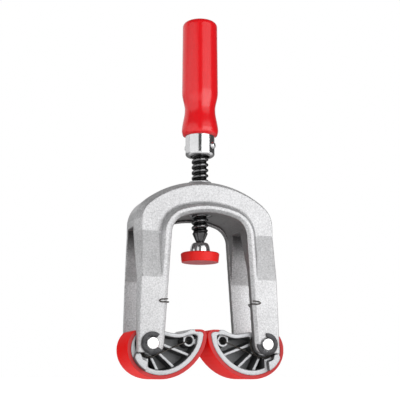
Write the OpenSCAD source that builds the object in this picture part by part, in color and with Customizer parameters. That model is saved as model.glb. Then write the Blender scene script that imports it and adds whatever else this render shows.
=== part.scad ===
// Edge clamp: a cast U-frame with two sprung eccentric cams and a pressure screw.
// X runs from leg to leg, Y from front to back, Z up. The origin is on the screw axis,
// at the level of the lowest point of the cam bands. Sizes are in millimetres.

/* [Frame] */
// Distance of each cam pivot from the screw axis
pivot_x = 40; // [39:0.5:44]
// Depth of the frame at the legs, front to back
frame_depth = 48; // [46:0.5:60]
// Thickness of each cheek of a leg fork
cheek_t = 6; // [4:0.25:7]
// How far the legs reach below the cam pivots
leg_drop = 6.2; // [5.6:0.1:6.4]
// Half of the gap between the legs at the throat
throat_half = 26.8; // [25:0.2:29]
// Half of the gap between the legs at their lower ends
foot_half = 32; // [31:0.2:33]
// Height of the throat's crown above the pivots
throat_rise = 88.5; // [86:0.5:100]
// Radius of the throat's crown
throat_r = 54; // [48:1:70]
// Radius of the throat's corners
throat_corner_r = 13; // [8:0.5:16]
// Thickness of the crown, from the throat to the outer back
crown_t = 23.8; // [20:0.2:26]
// Radius of the crown's outer back
crown_r = 69.4; // [66:0.2:80]
// Radius of the shoulders' outer back
shoulder_r = 20.4; // [17:0.2:24]
// Half width of the frame over its shoulders
shoulder_half = 50.2; // [48.5:0.1:53]
// Half width of the frame at its feet
outer_half = 49.4; // [48.5:0.1:52]
// Half depth of the outer back of crown and shoulders
back_half = 11.5; // [8:0.5:13]
// Half depth of crown and shoulders between their faces
face_half = 19.2; // [17:0.2:21]
// Width of the sloped edge between the back and the faces
edge_w = 3.2; // [2:0.2:5]
// Width of that edge at the level at which the cheeks start to fall back
knee_edge_w = 2.1; // [1:0.1:3]
// Width of the raised lip round the throat, to where its front rounds off
lip_w = 4.8; // [4:0.1:6]
// Width of the round between the lip's front and its flank
lip_round = 1.4; // [0.8:0.1:2]
// Width of the sloped edge between the lip's front and the throat
throat_edge = 2.6; // [1:0.1:3]
// Depth of that edge
throat_edge_d = 1.1; // [0.5:0.1:2]
// Depth of the channel between the front and the rear lip
channel_d = 0.6; // [0.3:0.1:1.5]
// How much deeper the channel is at the crown
channel_rise = 1.3; // [0.5:0.1:2]
// Height above the pivots at which the cheeks start to fall back
flare_rise = 43.4; // [42:0.2:48]
// Height above the pivots at which the fall of the faces is complete
shoulder_rise = 75; // [72:0.2:77]
// Height of the leg slots above the pivots
slot_rise = 78.8; // [78:0.2:82]
// Half width of the leg slots at their upper ends
slot_top_half = 8.2; // [7:0.2:10]
// Radius of the legs' inner lower corners
foot_r = 5; // [3:0.25:6]
// Radius of the boss on the crown
boss_r = 10; // [9.5:0.25:14]
// Height of the boss above the crown's outer back
boss_h = 0.8; // [0.4:0.1:3]
// How far the screw's bush stands out of the boss
bush_stand = 1.2; // [0.5:0.1:2]

/* [Cams] */
// Radius of the cam band at the level of the pivot
cam_r = 39.2; // [38:0.1:39.5]
// Growth of the cam's radius per radian at the level of the pivot
cam_growth = 0.417; // [0.38:0.005:0.46]
// Change of that growth per radian
cam_growth_change = 0.0336; // [0.02:0.002:0.045]
// Width of the cams
cam_w = 33.7; // [30:0.1:34]
// Thickness of the elastomer band
band_t = 2.6; // [1.5:0.1:3.5]
// Thickness of the band's end on top of the nose
band_tip_t = 1.4; // [0.8:0.1:2.4]
// Thickness of the cam's rim under the band
rim_t = 3.4; // [2.5:0.1:4.5]
// Radius of the band round the cam's nose
nose_r = 4.4; // [4:0.1:5]
// Where the band ends on top of the nose, from the pivot
band_end = 31.4; // [30.5:0.1:32.5]
// Radius of the cam's hub
hub_r = 7.4; // [6:0.1:7.6]
// Thickness of the cam's web
web_t = 4; // [2.5:0.25:8]
// Thickness of the cam's ribs
rib_t = 2; // [1.2:0.1:3]
// Depth of the ribs and the spring boss below the cam's sides
rib_inset = 3.35; // [3:0.05:5]
// Radius of the spring boss
anchor_r = 4.2; // [3.6:0.1:4.4]
// Radius of the hole in the spring boss
anchor_hole_r = 2.6; // [1.5:0.1:3]
// Gap between the stop lugs and the lower ends of the legs
stop_gap = 0.3; // [0.3:0.05:0.8]
// Reach of the stop lugs beyond the cam's sides
lug_reach = 4.4; // [2:0.2:6]

/* [Pins and clips] */
// Diameter of the pivot pins
pin_d = 8; // [6:0.1:8.4]
// How far the pins stand out of the cheeks
pin_stand = 2.5; // [2.2:0.1:4]
// Outer radius of the clips
clip_r = 7.5; // [6.6:0.1:8]
// Thickness of the clips
clip_t = 1; // [0.6:0.05:1.4]
// Depth of the clip groove in the pins
groove_d = 0.8; // [0.5:0.05:1.2]
// Width of the opening of a clip, in degrees
clip_open = 84; // [60:2:110]

/* [Springs] */
// Wire diameter of the springs
wire_d = 0.85; // [0.6:0.05:0.9]
// Mean radius of the spring coils
coil_r = 8.7; // [8.4:0.05:9]
// Length of the spring's hairpin on the cheek
hairpin_l = 6.4; // [5:0.2:10]
// Distance between the two wires of the hairpin
hairpin_w = 2; // [1.6:0.1:4]
// Height of the hairpin's lower wire above the pivot
hairpin_rise = 26.9; // [24:0.2:32]

/* [Screw and handle] */
// Outer diameter of the screw thread
screw_d = 12; // [10:0.1:13]
// Lead of the screw thread
screw_lead = 4; // [3:0.5:5]
// Depth of the screw thread
thread_depth = 1.3; // [1:0.1:2]
// Length of the screw thread
thread_l = 57.5; // [50:0.5:70]
// Length of the conical neck between the ball and the thread
neck_l = 10.4; // [10:0.2:16]
// Radius of the neck at the ball
neck_r = 2.4; // [1.8:0.1:2.6]
// Radius of the ball
ball_r = 3.6; // [3.2:0.1:3.8]
// Length of the tang inside the handle
tang_l = 38; // [20:1:60]
// Length of the handle above the ferrule
handle_l = 87; // [75:1:110]
// Radius of the handle's flare above the ferrule
flare_r = 13.15; // [12:0.05:15]
// Radius of the handle's waist
waist_r = 11.05; // [10:0.05:12]
// Radius of the handle's belly above the waist
belly_r = 13.05; // [12:0.05:16]
// Radius of the handle near its top
top_r = 12.7; // [12:0.05:15]
// Height of the waist above the ferrule
waist_rise = 19.8; // [17:0.2:24]
// Radius of the ferrule
ferrule_r = 10.5; // [10:0.05:11]
// Height of the ferrule
ferrule_h = 15.1; // [12:0.1:18]
// Wall of the ferrule
ferrule_t = 0.9; // [0.6:0.05:1.2]
// Diameter of the rivet through the ferrule
rivet_d = 3.6; // [2.5:0.1:4]
// Direction of the rivet, in degrees from the front
rivet_turn = 46; // [0:0.2:90]

/* [Pressure pad] */
// Height of the pad's lower face above the pivots
pad_rise = 56.9; // [52:0.2:62]
// Radius of the cap's upper edge
cap_r = 13.6; // [12.8:0.1:15]
// Radius of the cap's lower edge
cap_foot_r = 12.95; // [12:0.05:13.4]
// Height of the cap
cap_h = 6.8; // [5.6:0.1:8]
// Radius of the steel plate inside the cap
plate_r = 11.8; // [10:0.1:12]
// Thickness of the steel plate inside the cap
plate_t = 2.2; // [1.6:0.1:3]
// Height of the cup above the cap
cup_h = 7; // [6.6:0.1:8]
// Radius of the cup at the cap
cup_r = 7.05; // [6.8:0.05:8]
// Radius of the cup at its mouth
cup_top_r = 4.7; // [4.4:0.05:5.4]

/* [Clearances] */
// Radial clearance of the cams on their pins
run_gap = 0.05; // [0.02:0.01:0.1]
// Clearance of pieces that are fixed to each other
fit_gap = 0.03; // [0.01:0.01:0.1]
// Clearance of rounded faces that move past each other
ball_gap = 0.3; // [0.25:0.01:0.35]
// Clearance of the spring wires
wire_play = 0.2; // [0.1:0.01:0.25]

/* [Hidden] */
$fn = 96;
overcut = 1;
slice_t = 0.01;

// The cam's outline starts behind the leg, follows an eased spiral and ends in the nose.
spiral_start = -222;
spiral_end = 7;
spiral_steps = 46;
ease_from = -10;
ease_rate = 0.00415;
nose_steps = 8;
nose_top_turn = 90;

function radians(a) = a * PI / 180;
function unit(v) = v / norm(v);
function cam_radius(a) = cam_r * exp(cam_growth * radians(a) + cam_growth_change * pow(radians(a), 2))
  - ease_rate * pow(max(0, a - ease_from), 2);
function cam_point(a) = cam_radius(a) * [cos(a), sin(a)];
function cam_inward(a) = let (t = unit(cam_point(a + 0.5) - cam_point(a - 0.5))) [-t.y, t.x];
function cam_inset(a, depth) = cam_point(a) + depth * cam_inward(a);
function spiral(from, to, depth, steps = spiral_steps) =
  [for (i = [0:steps]) cam_inset(from + (to - from) * i / steps, depth)];

nose_centre = cam_inset(spiral_end, nose_r);
nose_from = let (n = -cam_inward(spiral_end)) atan2(n.y, n.x);
nose_top = nose_centre.y + nose_r;
function nose(depth, tip_depth) = [for (i = [1:nose_steps])
  let (t = i / nose_steps, a = nose_from + (nose_top_turn - nose_from) * t)
  nose_centre + (nose_r - depth + (depth - tip_depth) * t) * [cos(a), sin(a)]];

// The pivots stand so high that the bands touch the ground.
pivot_z = -min([for (p = spiral(spiral_start, spiral_end, 0, 4 * spiral_steps)) p.y]);

// Levels and places of the frame
cheek_y = frame_depth / 2;
slot_half = cheek_y - cheek_t;
leg_z = pivot_z - leg_drop;
throat_z = pivot_z + throat_rise;
throat_centre_z = throat_z - throat_r;
channel_z = throat_z + channel_d + channel_rise;
throat_corner_x = throat_half - throat_corner_r;
throat_corner_z = throat_centre_z + sqrt(pow(throat_r - throat_corner_r, 2) - pow(throat_corner_x, 2));
crown_z = throat_z + crown_t;
crown_centre_z = crown_z - crown_r;
shoulder_x = shoulder_half - shoulder_r;
shoulder_centre_z = crown_centre_z + sqrt(pow(crown_r - shoulder_r, 2) - pow(shoulder_x, 2));
crown_turn = atan2(shoulder_x, shoulder_centre_z - crown_centre_z);
// Turn by which the shoulders reach down into the legs, so that no seam is left between them
seam_turn = 3;
flare_z = pivot_z + flare_rise;
shoulder_z = pivot_z + shoulder_rise;
slot_z = pivot_z + slot_rise;
foot_edge = 0.4;
arc_steps = 12;
boss_z = crown_z + boss_h;
bush_z = boss_z + bush_stand;
function inner_half(z) = foot_half + (throat_half - foot_half) * (z - leg_z) / (throat_corner_z - leg_z);

// Levels of the screw, from the pad upwards
pad_z = pivot_z + pad_rise;
cap_z = pad_z + cap_h;
cup_z = cap_z + cup_h;
ball_drop = 1;
ball_z = cup_z - sqrt(pow(ball_r, 2) - pow(neck_r, 2)) - ball_drop;
thread_z = ball_z + neck_l;
thread_top_z = thread_z + thread_l;
ferrule_lap = 2;
ferrule_z = thread_top_z - ferrule_lap;
handle_z = ferrule_z + ferrule_h;
rivet_z = ferrule_z + ferrule_h / 2;
handle_top_z = handle_z + handle_l;
core_r = screw_d / 2 - thread_depth;
seat_r = ball_r + ball_gap;
seat_wall = 0.45;
socket_r = seat_r + seat_wall + ball_gap;
mouth_lip = 0.25;
mouth_r = ball_r - mouth_lip;
bush_t = 2;
bush_r = screw_d / 2 + bush_t;
spigot_r = ferrule_r - ferrule_t - fit_gap;

// A flat outline in X and Z, as deep as 2 * half from front to back
module plate(half) {
  rotate([90, 0, 0])
    linear_extrude(height = 2 * half, center = true)
      children();
}

// A round bar from front to back
module bar(r, half, x, z) {
  translate([x, 0, z])
    rotate([90, 0, 0])
      cylinder(r = r, h = 2 * half, center = true);
}

module both_sides() {
  children();
  mirror([1, 0, 0]) children();
}

function arc(centre, r, from, to, first, last, steps) = [for (i = [first:last])
  let (a = from + (to - from) * i / steps) centre + r * [cos(a), sin(a)]];

// The space between the legs, widened by grow on every side
module throat(grow, half) {
  foot = [inner_half(leg_z - overcut) + grow, leg_z - overcut];
  corner = [throat_corner_x, throat_corner_z];
  turn = atan2(throat_corner_z - throat_centre_z, throat_corner_x);
  right = concat([foot], arc(corner, throat_corner_r + grow, 0, turn, 0, arc_steps, arc_steps));
  crown = arc([0, throat_centre_z], throat_r + grow, turn, 180 - turn, 1, arc_steps - 1, arc_steps);
  left = [for (i = [len(right) - 1:-1:0]) [-right[i].x, right[i].y]];
  plate(half) polygon(concat(right, crown, left));
}

// Section of crown and shoulders at a distance r from a round centre, the back at back_r
module rim_section(inner_r, back_r) {
  polygon([
    [inner_r, -face_half], [back_r - edge_w, -face_half], [back_r, -back_half],
    [back_r, back_half], [back_r - edge_w, face_half], [inner_r, face_half]
  ]);
}

// Level section over both legs: half width of the backs, their edge, half depths of backs and faces
module leg_slice(z, back_x, edge, back_y, front_y, h = slice_t) {
  translate([0, 0, z])
    linear_extrude(height = h)
      polygon([
        [edge - back_x, -front_y], [back_x - edge, -front_y], [back_x, -back_y], [back_x, back_y],
        [back_x - edge, front_y], [edge - back_x, front_y], [-back_x, back_y], [-back_x, -back_y]
      ]);
}

// Both legs, with what lies between them until the throat is cut
module legs() {
  knee_x = (shoulder_half + outer_half) / 2;
  hull() {
    leg_slice(leg_z, outer_half, foot_edge, cheek_y - foot_edge, cheek_y);
    leg_slice(flare_z, knee_x, knee_edge_w, slot_half, cheek_y);
  }
  hull() {
    leg_slice(flare_z, knee_x, knee_edge_w, slot_half, cheek_y);
    leg_slice(shoulder_z, shoulder_half, edge_w, back_half, face_half);
  }
  leg_slice(shoulder_z, shoulder_half, edge_w, back_half, face_half, shoulder_centre_z - shoulder_z);
}

// Lip round the throat: a hollow rises from the faces into a steep flank and a rounded front
lip_drop = 1.8;
lip_draft = 0.8;
lip_hollow = [1.6, 0.4];
lip_foot = lip_w + lip_round + lip_draft;
lip_section = [
  [lip_foot + lip_hollow.x, face_half], [lip_foot, face_half + lip_hollow.y],
  [lip_w + lip_round, cheek_y - lip_drop], [lip_w, cheek_y]
];
module lip() {
  for (i = [1:len(lip_section) - 1])
    hull() {
      throat(lip_section[i - 1].x, lip_section[i - 1].y);
      throat(lip_section[i].x, lip_section[i].y);
    }
}

// What the sloped inner edge takes off the lip of the front or the rear face
module lip_edge(face) {
  hull() {
    translate([0, face * cheek_y, 0]) throat(throat_edge, slice_t);
    translate([0, face * (cheek_y - throat_edge_d), 0]) throat(0, slice_t);
  }
}

module leg_slot() {
  translate([shoulder_half, 0, 0])
    rotate([90, 0, 90])
      linear_extrude(height = 2 * shoulder_half, center = true)
        polygon([
          [-slot_half, leg_z - overcut], [slot_half, leg_z - overcut], [slot_half, flare_z],
          [slot_top_half, shoulder_z], [slot_top_half, slot_z],
          [-slot_top_half, slot_z], [-slot_top_half, shoulder_z], [-slot_half, flare_z]
        ]);
}

// What a rounded lower inner corner takes off a leg
module foot_round() {
  x = inner_half(leg_z);
  difference() {
    plate(cheek_y + overcut)
      polygon([
        [x - overcut, leg_z - overcut], [x + foot_r, leg_z - overcut],
        [x + foot_r, leg_z + foot_r], [x - overcut, leg_z + foot_r]
      ]);
    bar(foot_r, cheek_y + 2 * overcut, x + foot_r, leg_z + foot_r);
  }
}

module frame() {
  color([0.78, 0.78, 0.78])
    difference() {
      union() {
        translate([0, 0, crown_centre_z])
          rotate([90, 0, 0])
            rotate([0, 0, 90 - crown_turn])
              rotate_extrude(angle = 2 * crown_turn)
                rim_section(throat_z - crown_centre_z - throat_corner_r, crown_r);
        both_sides()
          translate([shoulder_x, 0, shoulder_centre_z])
            rotate([90, 0, 0]) {
              rotate_extrude(angle = 90 - crown_turn)
                rim_section(0, shoulder_r);
              mirror([0, 1, 0])
                rotate_extrude(angle = seam_turn)
                  rim_section(0, shoulder_r);
            }
        legs();
        intersection() {
          lip();
          translate([0, 0, flare_z])
            linear_extrude(height = crown_z)
              square(4 * shoulder_half, center = true);
        }
        translate([0, 0, throat_z])
          cylinder(r = boss_r, h = boss_z - throat_z);
      }
      throat(0, cheek_y + overcut);
      translate([0, 0, channel_rise]) throat(channel_d, slot_half);
      lip_edge(-1);
      lip_edge(1);
      both_sides() {
        leg_slot();
        foot_round();
        bar(pin_d / 2 + fit_gap, cheek_y + overcut, pivot_x, pivot_z);
      }
      cylinder(r = bush_r + fit_gap, h = boss_z + overcut);
    }
}

// Steel nut bush in the crown, flush with the channel and standing out of the boss
module threaded_bush() {
  color([0.55, 0.55, 0.57])
    translate([0, 0, channel_z])
      difference() {
        cylinder(r = bush_r, h = bush_z - channel_z);
        translate([0, 0, -overcut])
          cylinder(r = screw_d / 2 + run_gap, h = bush_z - channel_z + 2 * overcut);
      }
}

// Places a cam's pieces: X towards the screw, the pivot at the origin
module at_left() {
  translate([-pivot_x, 0, pivot_z]) children();
}

module at_right() {
  mirror([1, 0, 0]) at_left() children();
}

cam_half = cam_w / 2;
rib_half = cam_half - rib_inset;
cam_top_low = [19.5, 6.8];
cam_top_in = 9.8;
cam_top_out = 28;
cam_top_bend = 0.017;
band_step = 0.2;
cam_nose_bend = (nose_top - band_step - cam_top_low.y) / pow(cam_top_out - cam_top_low.x, 2);
function cam_top(x) = cam_top_low.y
  + pow(x - cam_top_low.x, 2) * (x < cam_top_low.x ? cam_top_bend : cam_nose_bend);
top_steps = 8;
top_wall = 2.8;
function top_line(from, to, drop) = [for (i = [0:top_steps])
  let (x = from + (to - from) * i / top_steps) [x, cam_top(x) - drop]];
pocket_start = -100;
pocket_end = -3;
pocket_top_out = 26;
pocket_nose = [for (d = [[-2.2, 0], [-3.4, 1], [-5.8, 1]]) nose_centre + d];
anchor = [28, 2.4];
rib_origin = [-5.9, 5.5];
rib_turns = [-20.8, -41.7, -62];
rib_l = 60;
hub_half = slot_half - ball_gap;
coil_play = 0.6;
coil_depth = 4.4;
coil_room = coil_r + wire_d / 2 + coil_play;
coil_front = -slot_half + wire_d / 2 + wire_play;
leg_wire_y = -rib_half - wire_d / 2 - wire_play;
lug_face = [-9.6, -6.4];
lug_bevel = [0.6, 0.4];
lug_heel = [[-5.7, -10.2], [-2.3, -11.4], [-2.1, -13]];
lug_start = -102;
lug_end = -142;
lug_sink = 0.4;
lug_steps = 8;

// Outline of the casting under the band
module cam_outline() {
  polygon(concat(
    spiral(spiral_start, spiral_end, band_t), nose(band_t, band_tip_t),
    [[band_end, nose_top - band_tip_t], [band_end, nose_top]],
    top_line(cam_top_out, cam_top_in, 0)
  ));
}

module cam_pocket() {
  polygon(concat(
    [[0, 0]],
    spiral(pocket_start, pocket_end, band_t + rim_t),
    pocket_nose,
    top_line(pocket_top_out, cam_top_in + overcut, top_wall)
  ));
}

// Stop lug in front of the rim, just under the lower end of the cheek
module cam_lug() {
  lug_top = -leg_drop - stop_gap;
  polygon(concat(
    [[lug_face[0], lug_top] - lug_bevel, [lug_face[0], lug_top], [lug_face[1], lug_top]],
    lug_heel,
    spiral(lug_start, lug_end, band_t + lug_sink, lug_steps)
  ));
}

module cam_ribs() {
  intersection() {
    plate(rib_half) cam_pocket();
    for (a = rib_turns)
      translate([rib_origin.x, 0, rib_origin.y])
        rotate([0, -a, 0])
          translate([rib_l / 2, 0, 0])
            cube([rib_l, cam_w, rib_t], center = true);
  }
}

module cam_casting() {
  difference() {
    union() {
      difference() {
        union() {
          plate(cam_half) cam_outline();
          plate(cam_half + lug_reach) cam_lug();
        }
        difference() {
          plate(cam_half + overcut) cam_pocket();
          plate(web_t / 2) cam_pocket();
        }
      }
      cam_ribs();
      bar(anchor_r, rib_half, anchor.x, anchor.y);
    }
    difference() {
      bar(coil_room, cam_w, 0, 0);
      bar(coil_room + overcut, -coil_front - coil_depth, 0, 0);
    }
    bar(anchor_hole_r, cam_w, anchor.x, anchor.y);
    bar(pin_d / 2 + run_gap, cam_w, 0, 0);
  }
  difference() {
    bar(hub_r, hub_half, 0, 0);
    bar(pin_d / 2 + run_gap, cam_w, 0, 0);
  }
}

module cam_band() {
  plate(cam_half)
    polygon(concat(
      spiral(spiral_start, spiral_end, 0), nose(0, 0),
      [[band_end, nose_top], [band_end, nose_top - band_tip_t]],
      [for (i = [nose_steps - 1:-1:0]) nose(band_t, band_tip_t)[i]],
      spiral(spiral_end, spiral_start, band_t)
    ));
}

module left_cam() {
  color([0.74, 0.75, 0.76]) at_left() cam_casting();
}

module right_cam() {
  color([0.74, 0.75, 0.76]) at_right() cam_casting();
}

module left_cam_pad() {
  color([0.86, 0.09, 0.09]) at_left() cam_band();
}

module right_cam_pad() {
  color([0.86, 0.09, 0.09]) at_right() cam_band();
}

// Pivot pin with a groove for a clip at each end
pin_half = cheek_y + pin_stand;
pin_edge = 0.4;
clip_play = 0.1;
clip_y = cheek_y + clip_play;
groove_y = clip_y + clip_t + clip_play;
groove_r = pin_d / 2 - groove_d;
module pivot_pin() {
  rotate([90, 0, 0])
    rotate_extrude()
      polygon([
        [0, -pin_half], [pin_d / 2 - pin_edge, -pin_half], [pin_d / 2, -pin_half + pin_edge],
        [pin_d / 2, -groove_y], [groove_r, -groove_y], [groove_r, -clip_y], [pin_d / 2, -clip_y],
        [pin_d / 2, clip_y], [groove_r, clip_y], [groove_r, groove_y], [pin_d / 2, groove_y],
        [pin_d / 2, pin_half - pin_edge], [pin_d / 2 - pin_edge, pin_half], [0, pin_half]
      ]);
}

module left_pivot_pin() {
  color([0.9, 0.9, 0.9]) at_left() pivot_pin();
}

module right_pivot_pin() {
  color([0.9, 0.9, 0.9]) at_right() pivot_pin();
}

// Spring clip with prongs in the pin's groove; open_turn is where its gap looks
clip_air = 0.7;
clip_inner_r = pin_d / 2 + clip_air;
prong_turns = [70, 290];
mid_prong_turns = [70, 180, 290];
prong_w = 2.4;
prong_sink = 0.4;
left_clip_turns = [8, 188];
right_clip_turns = [138, 40];
module clip(open_turn, prongs) {
  prong_r = groove_r + fit_gap;
  reach = 2 * clip_r;
  rotate([90, 0, 0])
    rotate([0, 0, open_turn])
      difference() {
        union() {
          difference() {
            cylinder(r = clip_r, h = clip_t, center = true);
            cylinder(r = clip_inner_r, h = 2 * clip_t, center = true);
            linear_extrude(height = 2 * clip_t, center = true)
              polygon([[0, 0], reach * [cos(clip_open / 2), -sin(clip_open / 2)],
                [2 * reach, 0], reach * [cos(clip_open / 2), sin(clip_open / 2)]]);
          }
          for (a = prongs)
            rotate([0, 0, a])
              translate([0, -prong_w / 2, -clip_t / 2])
                cube([clip_inner_r + prong_sink, prong_w, clip_t]);
        }
        cylinder(r = prong_r, h = 2 * clip_t, center = true);
      }
}

module clip_at(side, face, open_turn, prongs = mid_prong_turns) {
  color([0.2, 0.2, 0.21])
    translate([side * pivot_x, face * (clip_y + clip_t / 2 + clip_play / 2), pivot_z])
      clip(open_turn, prongs);
}

module left_front_clip() {
  clip_at(-1, -1, left_clip_turns[0], prong_turns);
}

module left_rear_clip() {
  clip_at(-1, 1, left_clip_turns[1]);
}

module right_front_clip() {
  clip_at(1, -1, right_clip_turns[0]);
}

module right_rear_clip() {
  clip_at(1, 1, right_clip_turns[1]);
}

// Wire of a torsion spring, from its hook in the cam to its hairpin on the cheek
wire_sides = 6;
coil_rings = 24;
coil_turns = 2;
wrap_x = pivot_x - inner_half(pivot_z + hairpin_rise) + wire_d / 2 + wire_play;
face_y = -cheek_y - wire_d / 2 - wire_play;
hook = anchor - [0.7, 0.3];
hook_l = 5;
hook_bend = 1;
hairpin_end = 0.6;
wrap_bend = 1.2;
hook_turn = atan2(hook.y, hook.x) - acos(coil_r / norm(hook));
wrap = [wrap_x, hairpin_rise];
wrap_in = [wrap.x, coil_front, wrap.y];
wrap_out = [wrap.x, face_y, wrap.y];
wrap_turn = atan2(wrap.y, wrap.x) + acos(coil_r / norm(wrap));
coil_sweep = hook_turn - (wrap_turn - 360) + 360 * coil_turns;
coil_steps = ceil(coil_sweep / 360 * coil_rings);
function coil_point(i) = let (a = hook_turn - coil_sweep * i / coil_steps)
  [coil_r * cos(a), leg_wire_y + (coil_front - leg_wire_y) * i / coil_steps, coil_r * sin(a)];
function corner_cut(p) = concat([p[0]],
  [for (i = [0:len(p) - 2]) each [0.75 * p[i] + 0.25 * p[i + 1], 0.25 * p[i] + 0.75 * p[i + 1]]],
  [p[len(p) - 1]]);
function between(a, b) = (a + b) / 2;
cam_leg = corner_cut(corner_cut([
  [anchor.x, leg_wire_y + hook_l, anchor.y], [anchor.x, leg_wire_y + hook_bend, anchor.y],
  [hook.x, leg_wire_y, hook.y], between([hook.x, leg_wire_y, hook.y], coil_point(0))
]));
cheek_leg = corner_cut(corner_cut([
  between(coil_point(coil_steps), wrap_in),
  wrap_in - wrap_bend * unit(wrap_in - coil_point(coil_steps)), wrap_in, wrap_in - [0, wrap_bend, 0],
  wrap_out + [0, wrap_bend, 0], wrap_out, wrap_out - [wrap_bend, 0, 0],
  [wrap.x - hairpin_l, face_y, wrap.y], [wrap.x - hairpin_l, face_y, wrap.y + hairpin_w],
  [wrap.x - hairpin_end, face_y, wrap.y + hairpin_w]
]));
wire_path = concat(cam_leg, [for (i = [0:coil_steps]) coil_point(i)], cheek_leg);
wire_last = len(wire_path) - 1;
function wire_along(i) = unit(wire_path[min(i + 1, wire_last)] - wire_path[max(i - 1, 0)]);
wire_across = [for (i = 0, n = unit(cross(wire_along(0), [1, 0, 0])); i <= wire_last;
  i = i + 1, n = i > wire_last ? n : unit(n - (n * wire_along(i)) * wire_along(i))) n];
wire_points = [for (i = [0:wire_last]) for (s = [0:wire_sides - 1])
  let (a = 360 * s / wire_sides, n = wire_across[i], b = cross(wire_along(i), n))
  wire_path[i] + wire_d / 2 * (cos(a) * n + sin(a) * b)];
wire_faces = concat(
  [for (s = [1:wire_sides - 2]) [0, s, s + 1]],
  [for (s = [1:wire_sides - 2]) [for (k = [0, s + 1, s]) wire_last * wire_sides + k]],
  [for (i = [0:wire_last - 1]) for (s = [0:wire_sides - 1])
    let (a = i * wire_sides + s, b = i * wire_sides + (s + 1) % wire_sides)
    each [[a, a + wire_sides, b], [b, a + wire_sides, b + wire_sides]]]
);

// Least gap between stretches of wire that lie more than a few wire widths apart along it
wire_lengths = [for (i = 0, l = 0; i <= wire_last; i = i + 1,
  l = i > wire_last ? l : l + norm(wire_path[i] - wire_path[i - 1])) l];
wire_apart = 5 * wire_d;
function to_stretch(p, a, b) = let (t = (p - a) * (b - a) / ((b - a) * (b - a)))
  norm(p - a - max(0, min(1, t)) * (b - a));
wire_gap = min([for (i = [0:wire_last]) for (j = [i + 1:wire_last - 1])
  if (wire_lengths[j] - wire_lengths[i] > wire_apart)
    to_stretch(wire_path[i], wire_path[j], wire_path[j + 1])]) - wire_d;
echo(str("least gap in the spring wire: ", wire_gap, " mm"));

module spring_wire() {
  polyhedron(points = wire_points, faces = wire_faces);
}

module left_spring() {
  color([0.33, 0.29, 0.25]) at_left() spring_wire();
}

module right_spring() {
  color([0.33, 0.29, 0.25]) at_right() spring_wire();
}

// Helical ridge of the screw, as a bar of four corners wound up the core
ridge_rings = 24;
ridge_root = 3;
ridge_crest = 1.3;
ridge_sink = 0.3;
ridge_steps = floor((thread_l - ridge_root) / screw_lead * ridge_rings);
ridge_section = [
  [core_r - ridge_sink, -ridge_root / 2], [screw_d / 2, -ridge_crest / 2],
  [screw_d / 2, ridge_crest / 2], [core_r - ridge_sink, ridge_root / 2]
];
ridge_points = [for (i = [0:ridge_steps]) for (p = ridge_section)
  let (a = 360 * i / ridge_rings)
  [p.x * cos(a), p.x * sin(a), thread_z + ridge_root / 2 + p.y + screw_lead * i / ridge_rings]];
ridge_faces = concat(
  [[0, 2, 1], [0, 3, 2]],
  [for (f = [[0, 1, 2], [0, 2, 3]]) [for (k = f) 4 * ridge_steps + k]],
  [for (i = [0:ridge_steps - 1]) for (s = [0:3])
    let (a = 4 * i + s, b = 4 * i + (s + 1) % 4)
    each [[a, b, a + 4], [b, b + 4, a + 4]]]
);

neck_sink = 0.4;
thread_run = 0.8;
tang_edge = 1;
tang_z = handle_z + tang_l;
module spindle() {
  color([0.12, 0.12, 0.13])
    difference() {
      union() {
        translate([0, 0, ball_z]) sphere(r = ball_r);
        rotate_extrude()
          polygon([
            [0, ball_z], [neck_r, ball_z], [neck_r, cup_z - neck_sink], [core_r + thread_run, thread_z],
            [core_r, thread_z + thread_run], [core_r, tang_z - tang_edge],
            [core_r - tang_edge, tang_z], [0, tang_z]
          ]);
        polyhedron(points = ridge_points, faces = ridge_faces);
      }
      rivet_line() cylinder(d = rivet_d + 2 * fit_gap, h = 4 * ferrule_r, center = true);
    }
}

// Thrust liner under the ball
seat_drop = 0.8;
module ball_seat() {
  color([0.7, 0.6, 0.4])
    translate([0, 0, ball_z])
      difference() {
        sphere(r = seat_r + seat_wall);
        sphere(r = seat_r);
        translate([0, 0, socket_r - seat_drop]) cube(2 * socket_r, center = true);
      }
}

// Steel cup on a disc, with the ball socket inside
cup_steps = 8;
cup_foot_z = cap_z + 0.6;
plate_z = pad_z + (cap_h - plate_t) / 2;
module pressure_plate() {
  color([0.8, 0.81, 0.82])
    difference() {
      union() {
        translate([0, 0, plate_z]) cylinder(r = plate_r, h = plate_t);
        rotate_extrude()
          polygon(concat(
            [[0, plate_z], [cup_r, plate_z], [cup_r, cup_foot_z]],
            [for (i = [1:cup_steps]) let (a = 90 * i / cup_steps)
              [cup_top_r + (cup_r - cup_top_r) * cos(a), cup_foot_z + (cup_z - cup_foot_z) * sin(a)]],
            [[0, cup_z]]
          ));
      }
      translate([0, 0, ball_z]) sphere(r = socket_r);
      translate([0, 0, ball_z]) cylinder(r = mouth_r, h = cup_h + overcut);
    }
}

cap_edge = 0.8;
cap_bevel = 0.25;
cap_foot_edge = 0.4;
module pad_cap() {
  color([0.86, 0.09, 0.09])
    difference() {
      rotate_extrude()
        polygon([
          [0, pad_z], [cap_foot_r - cap_foot_edge, pad_z], [cap_foot_r, pad_z + cap_foot_edge],
          [cap_r, cap_z - cap_edge], [cap_r - cap_bevel, cap_z - cap_bevel],
          [cap_r - cap_edge, cap_z], [0, cap_z]
        ]);
      translate([0, 0, plate_z - fit_gap])
        cylinder(r = plate_r + fit_gap, h = plate_t + 2 * fit_gap);
      translate([0, 0, plate_z]) cylinder(r = cup_r + fit_gap, h = cap_h);
    }
}

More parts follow.
